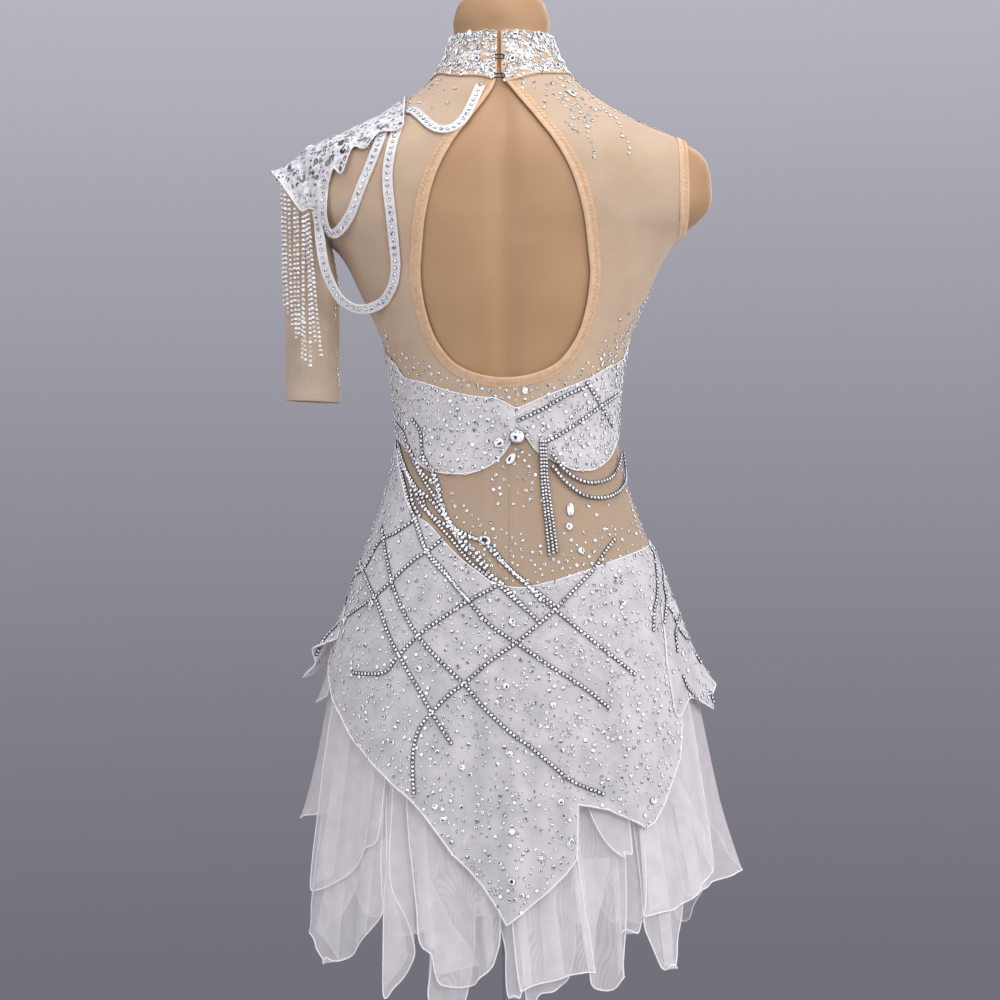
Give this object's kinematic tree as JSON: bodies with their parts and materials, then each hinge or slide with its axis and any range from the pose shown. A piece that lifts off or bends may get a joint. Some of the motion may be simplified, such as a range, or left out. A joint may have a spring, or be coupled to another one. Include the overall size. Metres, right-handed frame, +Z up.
{
  "type": "figure skating dress on a dress form",
  "caption": "Open-backed figure skating dress with one sleeve, beaded shoulder cap and petal skirt, worn by a limbless dress form on a round stand.",
  "frame": {"origin": "centre of the stand base's underside", "axes": "+X the wearer's right, +Y the wearer's forward direction (the open back faces -Y), +Z up"},
  "size_m": [0.4572, 0.3545, 1.484],
  "materials": {
    "form_skin": "smooth matt skin-tone coating",
    "stand_metal": "satin steel",
    "nude_mesh": "sheer nude stretch mesh",
    "peach_binding": "peach elastic binding, zigzag stitched",
    "white_stretch": "white stretch cloth with mesh overlay and small stones",
    "sheer_chiffon": "sheer white chiffon with rolled hems",
    "strap_satin": "white satin with a row of stones",
    "crystal": "cut clear stones and pearl beads",
    "cup_chain": "silver cup chain with clear stones"
  },
  "bodies": {
    "root": {"armhole_binding": "peach_binding", "back_left": "nude_mesh", "back_right": "nude_mesh", "band_back_left": "white_stretch", "band_back_right": "white_stretch", "band_front": "white_stretch", "centre_stone": "crystal", "collar": "white_stretch", "dress_form": "form_skin", "flap_left": "white_stretch", "flap_left_under": "sheer_chiffon", "flap_right": "white_stretch", "front_panel": "nude_mesh", "hip_back": "white_stretch", "hip_front": "white_stretch", "hook_1": "cup_chain", "hook_2": "cup_chain", "opening_binding": "peach_binding", "petal_back_1": "sheer_chiffon", "petal_back_10": "sheer_chiffon", "petal_back_11": "sheer_chiffon", "petal_back_12": "sheer_chiffon", "petal_back_13": "sheer_chiffon", "petal_back_14": "sheer_chiffon", "petal_back_2": "sheer_chiffon", "petal_back_3": "sheer_chiffon", "petal_back_4": "sheer_chiffon", "petal_back_5": "sheer_chiffon", "petal_back_6": "sheer_chiffon", "petal_back_7": "sheer_chiffon", "petal_back_8": "sheer_chiffon", "petal_back_9": "sheer_chiffon", "petal_front_1": "sheer_chiffon", "petal_front_2": "sheer_chiffon", "petal_front_3": "sheer_chiffon", "petal_front_4": "sheer_chiffon", "petal_front_5": "sheer_chiffon", "petal_front_6": "sheer_chiffon", "petal_front_7": "sheer_chiffon", "petal_front_8": "sheer_chiffon", "petal_side_left": "sheer_chiffon", "petal_side_right": "sheer_chiffon", "shoulder_cap": "white_stretch", "shoulder_fringe": "crystal", "sleeve_left": "nude_mesh", "stand_base": "stand_metal", "stand_pole": "stand_metal", "stand_socket": "stand_metal", "strap_collar": "strap_satin", "strap_inner": "strap_satin", "strap_outer": "strap_satin", "swag_lower": "cup_chain", "swag_upper": "cup_chain", "tassel_back": "cup_chain"}
  },
  "joints": []
}
